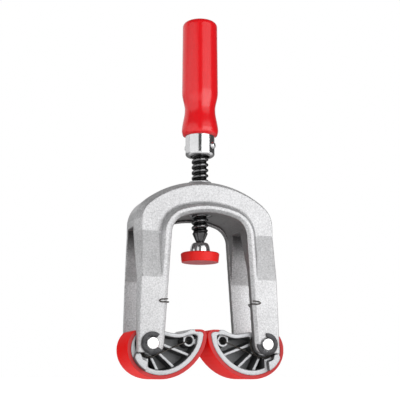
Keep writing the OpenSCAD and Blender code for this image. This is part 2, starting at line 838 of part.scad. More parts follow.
// Deep-drawn cup round the lower end of the handle
ferrule_mouth = 1.1;
ferrule_mouth_r = screw_d / 2 + ferrule_mouth;
ferrule_round = 2.4;
round_steps = 6;
module ferrule() {
  corner = [ferrule_r - ferrule_round, ferrule_z + ferrule_round];
  turns = [for (i = [0:round_steps]) -90 + 90 * i / round_steps];
  outer = [for (a = turns) corner + ferrule_round * [cos(a), sin(a)]];
  inner = [for (i = [round_steps:-1:0])
    corner + (ferrule_round - ferrule_t) * [cos(turns[i]), sin(turns[i])]];
  color([0.82, 0.82, 0.83])
    difference() {
      rotate_extrude()
        polygon(concat(
          [[ferrule_mouth_r, ferrule_z]], outer, [[ferrule_r, handle_z], [ferrule_r - ferrule_t, handle_z]],
          inner, [[ferrule_mouth_r, ferrule_z + ferrule_t]]
        ));
      rivet_line() cylinder(d = rivet_d + 2 * fit_gap, h = 4 * ferrule_r, center = true);
    }
}

// Places a bar across the ferrule along the rivet's direction
module rivet_line() {
  translate([0, 0, rivet_z])
    rotate([90, 0, rivet_turn])
      children();
}

curve_steps = 10;
belly_l = 13;
belly_rise = waist_rise + belly_l;
handle_round = 3.5;
handle_dome = 0.6;
flare_level = 3.6;
flare_foot = [2.2, 0];
flare_turn = [0.7, 0.9];
spigot_z = ferrule_z + ferrule_t + 0.6;
spigot_edge = 2;
tang_room = 0.5;
mouth_room = 3.4;
function ease(a, b, t) = a + (b - a) * (1 - cos(180 * t)) / 2;
module handle() {
  top_x = top_r - handle_round;
  top_z = handle_top_z - handle_dome - handle_round;
  color([0.86, 0.07, 0.08])
    difference() {
      rotate_extrude()
        polygon(concat(
          [[0, spigot_z], [spigot_r - spigot_edge, spigot_z], [spigot_r, spigot_z + spigot_edge],
           [spigot_r, handle_z], [flare_r - flare_foot.x, handle_z + flare_foot.y],
           [flare_r - flare_turn.x, handle_z + flare_turn.y]],
          [for (i = [0:curve_steps]) let (t = i / curve_steps)
            [ease(flare_r, waist_r, t), handle_z + flare_level + (waist_rise - flare_level) * t]],
          [for (i = [1:curve_steps]) let (t = i / curve_steps)
            [ease(waist_r, belly_r, t), handle_z + waist_rise + (belly_rise - waist_rise) * t]],
          [for (i = [0:round_steps]) let (a = 90 * i / round_steps)
            [top_x, top_z] + handle_round * [cos(a), sin(a)]],
          [[0, handle_top_z]]
        ));
      translate([0, 0, spigot_z - overcut])
        cylinder(r = core_r + fit_gap, h = tang_z - spigot_z + overcut + tang_room);
      translate([0, 0, spigot_z - overcut])
        cylinder(r = ferrule_mouth_r, h = mouth_room + overcut);
      rivet_line() cylinder(d = rivet_d + 2 * fit_gap, h = 4 * ferrule_r, center = true);
    }
}

// Rivet with two domed heads
rivet_head_r = 2.5;
rivet_head_h = 1.6;
module handle_pin() {
  half = ferrule_r + fit_gap;
  head = [for (i = [0:round_steps]) let (a = 90 * i / round_steps)
    [rivet_head_r * sin(a), half + rivet_head_h * cos(a)]];
  color([0.85, 0.85, 0.85])
    rivet_line()
      rotate_extrude()
        polygon(concat(
          [for (p = head) [p.x, -p.y]], [[rivet_d / 2, -half], [rivet_d / 2, half]],
          [for (i = [round_steps:-1:0]) head[i]]
        ));
}

frame();
threaded_bush();
left_cam();
right_cam();
left_cam_pad();
right_cam_pad();
left_pivot_pin();
right_pivot_pin();
left_front_clip();
left_rear_clip();
right_front_clip();
right_rear_clip();
left_spring();
right_spring();
spindle();
ball_seat();
pressure_plate();
pad_cap();
ferrule();
handle();
handle_pin();
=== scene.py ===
import math

import bmesh
import bpy
from mathutils import Matrix, Vector


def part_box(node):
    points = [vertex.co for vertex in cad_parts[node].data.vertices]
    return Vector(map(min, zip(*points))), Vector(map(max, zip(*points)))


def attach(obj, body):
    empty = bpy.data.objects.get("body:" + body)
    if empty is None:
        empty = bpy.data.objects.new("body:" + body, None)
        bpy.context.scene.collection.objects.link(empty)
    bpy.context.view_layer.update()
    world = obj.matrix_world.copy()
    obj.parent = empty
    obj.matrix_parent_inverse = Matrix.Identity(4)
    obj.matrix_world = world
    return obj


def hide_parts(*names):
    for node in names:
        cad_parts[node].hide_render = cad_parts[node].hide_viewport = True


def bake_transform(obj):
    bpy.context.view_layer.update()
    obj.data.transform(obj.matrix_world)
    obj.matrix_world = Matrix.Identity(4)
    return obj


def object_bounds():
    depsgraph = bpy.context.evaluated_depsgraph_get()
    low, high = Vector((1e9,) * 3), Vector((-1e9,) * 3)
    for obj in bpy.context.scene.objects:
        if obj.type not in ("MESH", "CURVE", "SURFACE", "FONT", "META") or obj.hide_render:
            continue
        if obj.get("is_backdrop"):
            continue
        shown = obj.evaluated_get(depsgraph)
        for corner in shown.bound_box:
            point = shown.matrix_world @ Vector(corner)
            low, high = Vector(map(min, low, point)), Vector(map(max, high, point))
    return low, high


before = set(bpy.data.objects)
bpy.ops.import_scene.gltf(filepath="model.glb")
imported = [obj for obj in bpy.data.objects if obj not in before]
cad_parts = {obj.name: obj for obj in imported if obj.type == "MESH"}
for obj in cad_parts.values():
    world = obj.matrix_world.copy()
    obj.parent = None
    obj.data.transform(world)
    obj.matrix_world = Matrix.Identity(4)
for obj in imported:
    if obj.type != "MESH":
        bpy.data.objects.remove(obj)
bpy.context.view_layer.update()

# The studio: the camera stands a little left of the front, almost on the floor, and looks up.
# Two softboxes stand at the right and a wide, weaker panel at the left, with a pale wall behind them.
# The floor is pale and keeps the shadow.
mm = 0.001
scene = bpy.context.scene
scene.view_settings.view_transform = "Standard"

aim = Vector((0, 0, 124.95 * mm))
camera_distance = 640 * mm
camera_yaw = math.radians(17.37)
camera_pitch = math.radians(11.12)
level_forward = Vector((math.sin(camera_yaw), math.cos(camera_yaw), 0))
forward = math.cos(camera_pitch) * level_forward + Vector((0, 0, math.sin(camera_pitch)))
camera = bpy.data.objects.new("camera", bpy.data.cameras.new("camera"))
camera.data.lens = 81.1
camera.data.sensor_width = 36
camera.data.clip_start = 10 * mm
camera.location = aim - camera_distance * forward
camera.rotation_euler = forward.to_track_quat("-Z", "Y").to_euler()
scene.collection.objects.link(camera)
scene.camera = camera


def softbox(name, turn, distance, height, width, tall, radiance):
    """A flat lamp that stands turn degrees to the right of the front and faces the clamp."""
    lamp = bpy.data.objects.new(name, bpy.data.lights.new(name, "AREA"))
    lamp.data.shape = "RECTANGLE"
    lamp.data.size = width
    lamp.data.size_y = tall
    lamp.data.energy = radiance * math.pi * width * tall
    side = math.radians(turn)
    lamp.location = (distance * math.sin(side), -distance * math.cos(side), height)
    lamp.rotation_euler = (aim - lamp.location).to_track_quat("-Z", "Y").to_euler()
    lamp.visible_camera = False
    scene.collection.objects.link(lamp)


softbox("right_softbox", turn=28, distance=0.9, height=0.22, width=1.08, tall=0.46, radiance=2.7)
softbox("upper_softbox", turn=28, distance=0.94, height=0.62, width=1.08, tall=0.3, radiance=1.15)
softbox("left_panel", turn=-68, distance=1.0, height=0.25, width=1.6, tall=0.9, radiance=0.9)


def wire(tree, kind, sockets, **settings):
    """Adds a node to a tree. A socket takes a number, a colour or another node's output."""
    made = tree.nodes.new(kind)
    for key, value in settings.items():
        setattr(made, key, value)
    for key, value in sockets.items():
        if isinstance(value, bpy.types.NodeSocket):
            tree.links.new(value, made.inputs[key])
        else:
            made.inputs[key].default_value = value
    return made


def calc(tree, operation, first, second=0.0):
    """The result of a calculation on one or two values."""
    return wire(tree, "ShaderNodeMath", {0: first, 1: second}, operation=operation).outputs[0]


def between(tree, share, start, end):
    """Goes evenly from start to end while share rises from 0 to 1."""
    return wire(tree, "ShaderNodeMapRange", {"Value": share, "To Min": start, "To Max": end}).outputs[0]


def ramp(tree, value, low, high, start=0.0, end=1.0):
    """Goes smoothly from start to end while a value rises from low to high."""
    return wire(tree, "ShaderNodeMapRange", {"Value": value, "From Min": low, "From Max": high, "To Min": start,
                                             "To Max": end}, interpolation_type="SMOOTHSTEP").outputs[0]


def seen_directly(tree):
    """Two values: 1 for a ray from the camera, and 1 for a reflection or a refraction."""
    path = wire(tree, "ShaderNodeLightPath", {}).outputs
    return path["Is Camera Ray"], calc(tree, "MAXIMUM", path["Is Glossy Ray"], path["Is Transmission Ray"])


white = (1, 1, 1, 1)
backdrop_white = 1.0
wall_bright = 0.75
wall_low = 0.18
wall_overhead = 0.1
front_dark = 0.07
fill_left = 0.6
fill_right = 0.3
wall_begins_y = (0.25, 0.4)
wall_ends_x = (0.6, 0.75)
wall_foot_z = (0.1, 0.26)
wall_corner_x = (-0.75, -0.55)
wall_fades_z = (0.4, 1.0)
fill_turns_x = (-0.6, 0.0)
scene.world = bpy.data.worlds.new("white_studio")
scene.world.use_nodes = True
tree = scene.world.node_tree
tree.nodes.clear()
from_camera, mirrored = seen_directly(tree)
ray = wire(tree, "ShaderNodeTexCoord", {}).outputs["Generated"]
ray = wire(tree, "ShaderNodeSeparateXYZ", {0: ray}).outputs
behind = ramp(tree, ray["Y"], *wall_begins_y)
open_right = ramp(tree, ray["X"], *wall_ends_x, 1.0, 0.0)
high = ramp(tree, ray["Z"], *wall_foot_z)
left = ramp(tree, ray["X"], *wall_corner_x, 1.0, 0.0)
wall = between(tree, calc(tree, "MAXIMUM", high, left), wall_low, wall_bright)
wall = calc(tree, "MULTIPLY", wall, ramp(tree, ray["Z"], *wall_fades_z, 1.0, wall_overhead))
reflected = between(tree, calc(tree, "MULTIPLY", behind, open_right), front_dark, wall)
fill = ramp(tree, ray["X"], *fill_turns_x, fill_left, fill_right)
fill_light, reflected_light, backdrop = (
    wire(tree, "ShaderNodeBackground", {"Color": white, "Strength": strength}).outputs[0]
    for strength in (fill, reflected, backdrop_white))
lit = wire(tree, "ShaderNodeMixShader", {0: mirrored, 1: fill_light, 2: reflected_light})
shown = wire(tree, "ShaderNodeMixShader", {0: from_camera, 1: lit.outputs[0], 2: backdrop})
wire(tree, "ShaderNodeOutputWorld", {0: shown.outputs[0]})

floor_radius = 3.0
floor_drop = 0.2 * mm
bm = bmesh.new()
bmesh.ops.create_circle(bm, cap_ends=True, segments=96, radius=floor_radius)
bmesh.ops.translate(bm, verts=bm.verts, vec=(0, 0, -floor_drop))
floor = bpy.data.objects.new("floor", bpy.data.meshes.new("floor"))
bm.to_mesh(floor.data)
bm.free()
scene.collection.objects.link(floor)
floor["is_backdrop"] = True
pale_floor = bpy.data.materials.new("pale_floor")
pale_floor.use_nodes = True
tree = pale_floor.node_tree
tree.nodes.clear()
from_camera, mirrored = seen_directly(tree)
paper_white = 0.82
paper_mirrored = 0.4
paper_lift = 0.7
paper_bounce = 0.3
front_glow = 0.6
glow_fades_y = (0.0, 0.3)
spot = wire(tree, "ShaderNodeNewGeometry", {}).outputs["Position"]
spot = wire(tree, "ShaderNodeSeparateXYZ", {0: spot}).outputs
near = ramp(tree, spot["Y"], *glow_fades_y, front_glow, 0.0)
lift = between(tree, from_camera, between(tree, mirrored, paper_bounce, near), paper_lift)
paper = wire(tree, "ShaderNodeBsdfDiffuse", {"Color": between(tree, mirrored, paper_white, paper_mirrored)})
glow = wire(tree, "ShaderNodeEmission", {"Color": white, "Strength": lift})
shown = wire(tree, "ShaderNodeAddShader", {0: paper.outputs[0], 1: glow.outputs[0]})
wire(tree, "ShaderNodeOutputMaterial", {0: shown.outputs[0]})
floor.data.materials.append(pale_floor)

# Frame: a U with forked legs, cast in aluminium and shot-blasted, so its edges are soft and its skin
# is finely grained. Its inner walls, undersides and slopes and the tops of its slots are painted darker
# as painted shade, and its right rear cheek is painted brighter as painted light.
# The screw's bush sits in the crown and a pivot pin in each fork.
grain = bpy.data.node_groups.new("grain", "ShaderNodeTree")
for name, kind in (("Vector", "NodeSocketVector"), ("Grains", "NodeSocketFloat"), ("Patches", "NodeSocketFloat"),
                   ("Patch share", "NodeSocketFloat"), ("Dark", "NodeSocketColor"),
                   ("Light", "NodeSocketColor"), ("Smooth", "NodeSocketFloat"), ("Rough", "NodeSocketFloat"),
                   ("Relief", "NodeSocketFloat")):
    grain.interface.new_socket(name, in_out="INPUT", socket_type=kind)
for name, kind in (("Color", "NodeSocketColor"), ("Roughness", "NodeSocketFloat"),
                   ("Normal", "NodeSocketVector")):
    grain.interface.new_socket(name, in_out="OUTPUT", socket_type=kind)
given = wire(grain, "NodeGroupInput", {}).outputs
fine = wire(grain, "ShaderNodeTexNoise", {"Vector": given["Vector"], "Scale": given["Grains"], "Detail": 3.0,
                                          "Roughness": 0.6})
broad = wire(grain, "ShaderNodeTexNoise", {"Vector": given["Vector"], "Scale": given["Patches"], "Detail": 2.0})
blend = wire(grain, "ShaderNodeMix", {0: given["Patch share"], 2: fine.outputs[0], 3: broad.outputs[0]})
spread = wire(grain, "ShaderNodeMapRange", {"Value": blend.outputs[0], "From Min": 0.32, "From Max": 0.68})
tone = wire(grain, "ShaderNodeMix", {0: spread.outputs[0], 6: given["Dark"], 7: given["Light"]}, data_type="RGBA")
sheen = between(grain, spread.outputs[0], given["Smooth"], given["Rough"])
relief = wire(grain, "ShaderNodeBump", {"Strength": 1.0, "Distance": given["Relief"], "Height": fine.outputs[0]})
wire(grain, "NodeGroupOutput", {"Color": tone.outputs[2], "Roughness": sheen, "Normal": relief.outputs[0]})


def finish(name, grained, **plain):
    """A material: grained feeds the shared grain, plain holds what is the same all over the surface."""
    made = bpy.data.materials.new(name)
    made.use_nodes = True
    skin = made.node_tree.nodes["Principled BSDF"]
    for key, value in plain.items():
        skin.inputs[key.replace("_", " ").title().replace("Ior", "IOR")].default_value = value
    spot = wire(made.node_tree, "ShaderNodeTexCoord", {})
    surface = wire(made.node_tree, "ShaderNodeGroup", {}, node_tree=grain)
    made.node_tree.links.new(spot.outputs["Object"], surface.inputs["Vector"])
    for key, value in grained.items():
        surface.inputs[key].default_value = value
    for output, socket in (("Color", "Base Color"), ("Roughness", "Roughness"), ("Normal", "Normal")):
        made.node_tree.links.new(surface.outputs[output], skin.inputs[socket])
    return made


def facing(tree):
    """The three parts of the direction that the surface faces."""
    turn = wire(tree, "ShaderNodeNewGeometry", {}).outputs["True Normal"]
    return wire(tree, "ShaderNodeSeparateXYZ", {0: turn}).outputs


def place(tree):
    """The three parts of a point's place on the clamp."""
    spot = wire(tree, "ShaderNodeTexCoord", {}).outputs["Object"]
    return wire(tree, "ShaderNodeSeparateXYZ", {0: spot}).outputs


def shaded(material, share):
    """Multiplies a material's own colour by a share."""
    tree = material.node_tree
    colour = tree.nodes["Principled BSDF"].inputs["Base Color"]
    product = wire(tree, "ShaderNodeVectorMath", {0: colour.links[0].from_socket, 1: share}, operation="MULTIPLY")
    tree.links.new(product.outputs[0], colour)


weld = 0.001 * mm


def cast_skin(node, voxel, rounds, kept=1.0):
    """A copy of a CAD node's mesh with its edges softened, as a casting or a moulding has them."""
    sharp = bmesh.new()
    sharp.from_mesh(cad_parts[node].data)
    bmesh.ops.remove_doubles(sharp, verts=sharp.verts, dist=weld)
    pattern = bpy.data.objects.new(node + "_pattern", bpy.data.meshes.new(node + "_pattern"))
    sharp.to_mesh(pattern.data)
    sharp.free()
    scene.collection.objects.link(pattern)
    skin = pattern.modifiers.new("skin", "REMESH")
    skin.mode = "VOXEL"
    skin.voxel_size = voxel
    soft = pattern.modifiers.new("soft_edges", "SMOOTH")
    soft.factor = 0.5
    soft.iterations = rounds
    if kept < 1.0:
        lean = pattern.modifiers.new("fewer_faces", "DECIMATE")
        lean.ratio = kept
    made = bmesh.new()
    made.from_object(pattern, bpy.context.evaluated_depsgraph_get())
    bpy.data.objects.remove(pattern)
    return made


def piece(name, made, material, slot, body, *nodes):
    """Turns a bmesh into a finished piece that rides on a body and stands for CAD nodes."""
    for face in made.faces:
        face.smooth = True
    mesh = bpy.data.meshes.new(name)
    made.to_mesh(mesh)
    made.free()
    mesh.materials.append(material)
    shown = bpy.data.objects.new(name, mesh)
    scene.collection.objects.link(shown)
    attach(shown, body)
    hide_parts(*nodes)
    return shown


cast_aluminium = finish(
    "cast_aluminium",
    {"Grains": 950.0, "Patches": 60.0, "Patch share": 0.2, "Dark": (0.37, 0.37, 0.376, 1),
     "Light": (0.73, 0.73, 0.74, 1), "Smooth": 0.4, "Rough": 0.56, "Relief": 0.12 * mm},
    metallic=0.7)
# Painted shade and light on the casting: darker inner walls, undersides, slopes and slot tops, and a brighter right
# rear cheek.
painted_wall_shade = 0.4
wall_turn = (-0.95, -0.7)
painted_underside_shade = 0.42
painted_underside_turn = (-0.5, -0.15)
painted_slope_shade = 0.8
slope_turn = (0.05, 0.12)
bevel_turn = (0.2, 0.4)
front_turn = (-0.8, -0.6)
painted_slot_shadow = 0.15
slot_half = 18 * mm
slot_top_z = (80 * mm, 101 * mm)
painted_rear_light = 1.28
rear_y = (0.0, 8 * mm)
right_x = (0.0, 20 * mm)
tree = cast_aluminium.node_tree
turn = facing(tree)
spot = place(tree)
inward = calc(tree, "MULTIPLY", turn["X"], calc(tree, "SIGN", spot["X"]))
wall = ramp(tree, inward, *wall_turn, painted_wall_shade, 1.0)
under = ramp(tree, turn["Z"], *painted_underside_turn, painted_underside_shade, 1.0)
sloped = ramp(tree, turn["Z"], *slope_turn, 1.0, painted_slope_shade)
sloped = calc(tree, "MAXIMUM", sloped, ramp(tree, turn["Z"], *bevel_turn))
frontal = ramp(tree, turn["Y"], *front_turn, 1.0, 0.0)
inside = calc(tree, "LESS_THAN", calc(tree, "ABSOLUTE", spot["Y"]), slot_half)
slot = ramp(tree, spot["Z"], *slot_top_z, 1.0, painted_slot_shadow)
slot = between(tree, calc(tree, "MULTIPLY", inside, frontal), 1.0, slot)
rear = calc(tree, "MULTIPLY", ramp(tree, spot["Y"], *rear_y), frontal)
rear = calc(tree, "MULTIPLY", ramp(tree, spot["X"], *right_x), rear)
shade = calc(tree, "MINIMUM", wall, under)
for share in (sloped, slot, between(tree, rear, 1.0, painted_rear_light)):
    shade = calc(tree, "MULTIPLY", shade, share)
shaded(cast_aluminium, shade)
frame_skin = cast_skin("frame", voxel=0.5 * mm, rounds=2, kept=0.42)
piece("frame_casting", frame_skin, cast_aluminium, "cast_aluminium", "frame", "frame")


# Threaded bush: a short steel sleeve that is pressed into the crown and carries the screw's nut thread.
# It is turned from bar, with both mouths chamfered, and left dull.
def turned(profile, ease, steps=96):
    """Spins an outline of radius and height round Z and eases its corners. Rings beside them hold the shape."""
    ring_gap = 2.5 * ease
    least_length = 8 * ease
    made = bmesh.new()
    line = [profile[0]]
    for start, end in zip(profile, profile[1:]):
        length = math.dist(start, end)
        if length > least_length:
            share = ring_gap / length
            line += [(start[0] + (end[0] - start[0]) * t, start[1] + (end[1] - start[1]) * t)
                     for t in (share, 1 - share)]
        line.append(end)
    corners = [made.verts.new((r, 0, z)) for r, z in line]
    edges = [made.edges.new(pair) for pair in zip(corners, corners[1:])]
    bmesh.ops.spin(made, geom=corners + edges, cent=(0, 0, 0), axis=(0, 0, 1), angle=math.tau, steps=steps,
                   use_merge=True)
    bmesh.ops.remove_doubles(made, verts=made.verts, dist=weld)
    bmesh.ops.recalc_face_normals(made, faces=made.faces)
    eased(made, ease)
    return made


def eased(made, ease):
    """Rounds every edge of a piece that turns by more than the least angle."""
    least_angle = math.radians(24)
    sharp = [edge for edge in made.edges
             if len(edge.link_faces) == 2 and edge.calc_face_angle() > least_angle]
    bmesh.ops.bevel(made, geom=sharp, offset=ease, offset_type="OFFSET", affect="EDGES", segments=3, profile=0.5,
                    material=-1, clamp_overlap=True)


bush_steel = finish(
    "bush_steel",
    {"Grains": 900.0, "Patches": 120.0, "Patch share": 0.5, "Dark": (0.42, 0.42, 0.43, 1),
     "Light": (0.6, 0.6, 0.61, 1), "Smooth": 0.42, "Rough": 0.55, "Relief": 0.01 * mm},
    metallic=1.0)
low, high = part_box("threaded_bush")
bush_r = high.x
bush_bore = 6.05 * mm
bush_chamfer = 0.8 * mm
bush = turned([(bush_bore + bush_chamfer, low.z), (bush_r, low.z), (bush_r, high.z),
               (bush_bore + bush_chamfer, high.z), (bush_bore, high.z - bush_chamfer),
               (bush_bore, low.z + bush_chamfer), (bush_bore + bush_chamfer, low.z)], ease=0.15 * mm)
piece("nut_bush", bush, bush_steel, "bright_steel", "frame", "threaded_bush")

# Cams: a left and a right eccentric of cast aluminium with a rim, a thin web and ribs.
# Each turns on its pivot pin and has a boss that holds the spring's hook. Its pockets are painted darker, as painted
# shade.
cam_aluminium = finish(
    "cam_aluminium",
    {"Grains": 1300.0, "Patches": 90.0, "Patch share": 0.35, "Dark": (0.42, 0.43, 0.44, 1),
     "Light": (0.64, 0.65, 0.67, 1), "Smooth": 0.38, "Rough": 0.55, "Relief": 0.06 * mm},
    metallic=0.6)
# Painted shade: the pockets and the web are darker, while the rim's and ribs' faces and the top above saddle_z keep
# the full colour.
painted_pocket_shade = 0.34
pocket_y = (11 * mm, 12 * mm)
flat_turn = (0.45, 0.8)
saddle_z = 28.8 * mm
tree = cam_aluminium.node_tree
flat = calc(tree, "ABSOLUTE", facing(tree)["Y"])
flat = wire(tree, "ShaderNodeMapRange", {"Value": flat, "From Min": flat_turn[0], "From Max": flat_turn[1]})
spot = place(tree)
outer = calc(tree, "ABSOLUTE", spot["Y"])
outer = wire(tree, "ShaderNodeMapRange", {"Value": outer, "From Min": pocket_y[0], "From Max": pocket_y[1]})
unshaded_faces = calc(tree, "MULTIPLY", flat.outputs[0], outer.outputs[0])
unshaded_faces = calc(tree, "MAXIMUM", unshaded_faces, calc(tree, "GREATER_THAN", spot["Z"], saddle_z))
shaded(cam_aluminium, between(tree, unshaded_faces, painted_pocket_shade, 1.0))
for side in ("left", "right"):
    node = f"{side}_cam"
    cam_skin = cast_skin(node, voxel=0.45 * mm, rounds=3)
    piece(f"{side}_cam_casting", cam_skin, cam_aluminium, "cam_aluminium", node, node)


# Cam bands: a red elastomer tread moulded on each cam's rim and round its nose, which grips the panel.
# Its edges are rounded by the mould. Its sides and its underside are painted paler than the tread, as painted
# reflection.
def tinted(material, share, tint):
    """Mixes another colour into a material's own."""
    tree = material.node_tree
    colour = tree.nodes["Principled BSDF"].inputs["Base Color"]
    mixed = wire(tree, "ShaderNodeMix", {0: share, 6: colour.links[0].from_socket, 7: tint}, data_type="RGBA")
    tree.links.new(mixed.outputs[2], colour)


red_elastomer = finish(
    "red_elastomer",
    {"Grains": 1500.0, "Patches": 70.0, "Patch share": 0.4, "Dark": (0.78, 0.003, 0.002, 1),
     "Light": (0.86, 0.005, 0.003, 1), "Smooth": 0.4, "Rough": 0.55, "Relief": 0.02 * mm},
    metallic=0.0, specular_ior_level=0.02)
# Painted reflection: the underside and the sides get paler reds.
painted_underside_reflection = (0.9, 0.045, 0.043, 1)
painted_underside_turn = (-0.9, -0.4)
painted_side_reflection = (0.57, 0.065, 0.067, 1)
side_turn = (0.5, 0.8)
tree = red_elastomer.node_tree
turn = facing(tree)
tinted(red_elastomer, ramp(tree, turn["Z"], *painted_underside_turn, 1.0, 0.0), painted_underside_reflection)
tinted(red_elastomer, ramp(tree, calc(tree, "ABSOLUTE", turn["Y"]), *side_turn), painted_side_reflection)
for side in ("left", "right"):
    node = f"{side}_cam_pad"
    band_skin = cast_skin(node, voxel=0.4 * mm, rounds=3)
    piece(f"{side}_cam_band", band_skin, red_elastomer, "red_elastomer", f"{side}_cam", node)

# Pivot pins: turned steel pins that hold the cams in the forks, with a groove for a clip near each end.
# They are zinc plated and their ends are chamfered.
bright_steel = finish(
    "bright_steel",
    {"Grains": 900.0, "Patches": 120.0, "Patch share": 0.5, "Dark": (0.7, 0.7, 0.71, 1),
     "Light": (0.84, 0.84, 0.85, 1), "Smooth": 0.1, "Rough": 0.2, "Relief": 0.004 * mm},
    metallic=1.0)
pin_edge = 0.4 * mm
groove_r = 3.2 * mm
groove_from = 24.1 * mm
groove_to = 25.3 * mm
for side in ("left", "right"):
    node = f"{side}_pivot_pin"
    low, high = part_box(node)
    pin_r = (high.x - low.x) / 2
    half = high.y
    end = [(0, half), (pin_r - pin_edge, half), (pin_r, half - pin_edge), (pin_r, groove_to),
           (groove_r, groove_to), (groove_r, groove_from), (pin_r, groove_from)]
    pin = turned(end + [(r, -y) for r, y in reversed(end)], ease=0.12 * mm)
    bmesh.ops.rotate(pin, verts=pin.verts, cent=(0, 0, 0), matrix=Matrix.Rotation(math.radians(90), 3, "X"))
    bmesh.ops.translate(pin, verts=pin.verts, vec=((low.x + high.x) / 2, 0, (low.z + high.z) / 2))
    piece(f"{side}_pin", pin, bright_steel, "bright_steel", "frame", node)

# Clips: spring steel retaining rings pushed sideways into the grooves of the pins, one at each end.
# They are stamped from sheet and phosphated dark grey.
clip_steel = finish(
    "clip_steel",
    {"Grains": 1600.0, "Patches": 200.0, "Patch share": 0.3, "Dark": (0.03, 0.03, 0.032, 1),
     "Light": (0.07, 0.07, 0.073, 1), "Smooth": 0.25, "Rough": 0.4, "Relief": 0.01 * mm},
    metallic=0.95)
for side in ("left", "right"):
    for face in ("front", "rear"):
        node = f"{side}_{face}_clip"
        clip = bmesh.new()
        clip.from_mesh(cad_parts[node].data)
        bmesh.ops.remove_doubles(clip, verts=clip.verts, dist=weld)
        bmesh.ops.dissolve_limit(clip, angle_limit=math.radians(1), verts=clip.verts, edges=clip.edges)
        eased(clip, ease=0.12 * mm)
        piece(f"{side}_{face}_ring", clip, clip_steel, "clip_steel", "frame", node)

# Springs: torsion springs of oiled wire, coiled round each cam's hub at the front.
# One end hooks into the cam's boss, the other goes round the edge of the leg and ends in a hairpin.
spring_steel = finish(
    "spring_steel",
    {"Grains": 1200.0, "Patches": 150.0, "Patch share": 0.5, "Dark": (0.03, 0.027, 0.024, 1),
     "Light": (0.1, 0.09, 0.08, 1), "Smooth": 0.18, "Rough": 0.3, "Relief": 0.006 * mm},
    metallic=1.0)
wire_d = 0.85 * mm
coil_r = 8.7 * mm
coil_front = -17.375 * mm
coil_back = -14.125 * mm
coil_turns = 3
coil_rings = 48
face_y = -24.625 * mm
anchor = Vector((28, 2.4)) * mm
hook = anchor - Vector((0.7, 0.3)) * mm
hook_l = 5 * mm
hook_bend = 1 * mm
wrap = Vector((10.795, 26.9)) * mm
wrap_bend = 1.2 * mm
hairpin_l = 6.4 * mm
hairpin_w = 2 * mm
hairpin_end = 0.6 * mm
hook_turn = math.atan2(hook.y, hook.x) - math.acos(coil_r / hook.length)
wrap_turn = math.atan2(wrap.y, wrap.x) + math.acos(coil_r / wrap.length)
coil_sweep = hook_turn - wrap_turn + coil_turns * math.tau
coil_steps = round(coil_sweep / math.tau * coil_rings)


def coil_point(step):
    """A point of the coil, from the cam's side to the front."""
    share = step / coil_steps
    turn = hook_turn - coil_sweep * share
    return Vector((coil_r * math.cos(turn), coil_back + (coil_front - coil_back) * share,
                   coil_r * math.sin(turn)))


coil_end = coil_point(coil_steps)
hook_in = Vector((hook.x, coil_back, hook.y))
wrap_in = Vector((wrap.x, coil_front, wrap.y))
wrap_out = Vector((wrap.x, face_y, wrap.y))
hairpin = Vector((wrap.x - hairpin_l, face_y, wrap.y))
route = [
    Vector((anchor.x, coil_back + hook_l, anchor.y)), Vector((anchor.x, coil_back + hook_bend, anchor.y)),
    hook_in, (hook_in + coil_point(0)) / 2, *[coil_point(step) for step in range(coil_steps + 1)],
    (coil_end + wrap_in) / 2, wrap_in - wrap_bend * (wrap_in - coil_end).normalized(), wrap_in,
    wrap_in - Vector((0, wrap_bend, 0)), wrap_out + Vector((0, wrap_bend, 0)), wrap_out,
    wrap_out - Vector((wrap_bend, 0, 0)), hairpin, hairpin + Vector((0, 0, hairpin_w)),
    Vector((wrap.x - hairpin_end, face_y, wrap.y + hairpin_w))
]
for side, toward in (("left", 1), ("right", -1)):
    low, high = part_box(f"{side}_pivot_pin")
    pivot = (low + high) / 2
    line = bpy.data.curves.new(f"{side}_wire", "CURVE")
    line.dimensions = "3D"
    line.bevel_depth = wire_d / 2
    line.bevel_resolution = 4
    line.resolution_u = 2
    line.use_fill_caps = True
    spline = line.splines.new("NURBS")
    spline.points.add(len(route) - 1)
    for point, at in zip(spline.points, route):
        point.co = (pivot.x + toward * at.x, at.y, pivot.z + at.z, 1)
    spline.order_u = 3
    spline.use_endpoint_u = True
    drawn = bpy.data.objects.new(f"{side}_wire", line)
    scene.collection.objects.link(drawn)
    coil = bpy.data.objects.new(f"{side}_torsion_spring", bpy.data.meshes.new_from_object(
        drawn.evaluated_get(bpy.context.evaluated_depsgraph_get())))
    bpy.data.objects.remove(drawn)
    for face in coil.data.polygons:
        face.use_smooth = True
    coil.data.materials.clear()
    coil.data.materials.append(spring_steel)
    scene.collection.objects.link(coil)
    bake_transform(coil)
    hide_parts(f"{side}_spring")

# Spindle: a trapezoidal screw of steel, blackened and oiled, with a conical neck and a ball at its foot.
# The thread is rolled, so its crests and roots are rounded and it fades out at the neck.
# It turns in the bush, and its upper end is riveted in the handle.
crest_r = 6 * mm
core_r = 4.7 * mm
rolled = {"Grains": 800.0, "Patches": 160.0, "Patch share": 0.4, "Dark": (0.1, 0.1, 0.102, 1),
          "Light": (0.3, 0.3, 0.306, 1), "Smooth": 0.1, "Rough": 0.2, "Relief": 0.01 * mm}
# The neck's copy of the rolled finish is painted darker than the thread's, as painted shade.
black_steel = finish("black_steel", {**rolled, "Dark": (0.05, 0.05, 0.052, 1), "Light": (0.15, 0.15, 0.154, 1)},
                     metallic=1.0)
black_thread = finish("black_thread", rolled, metallic=1.0)
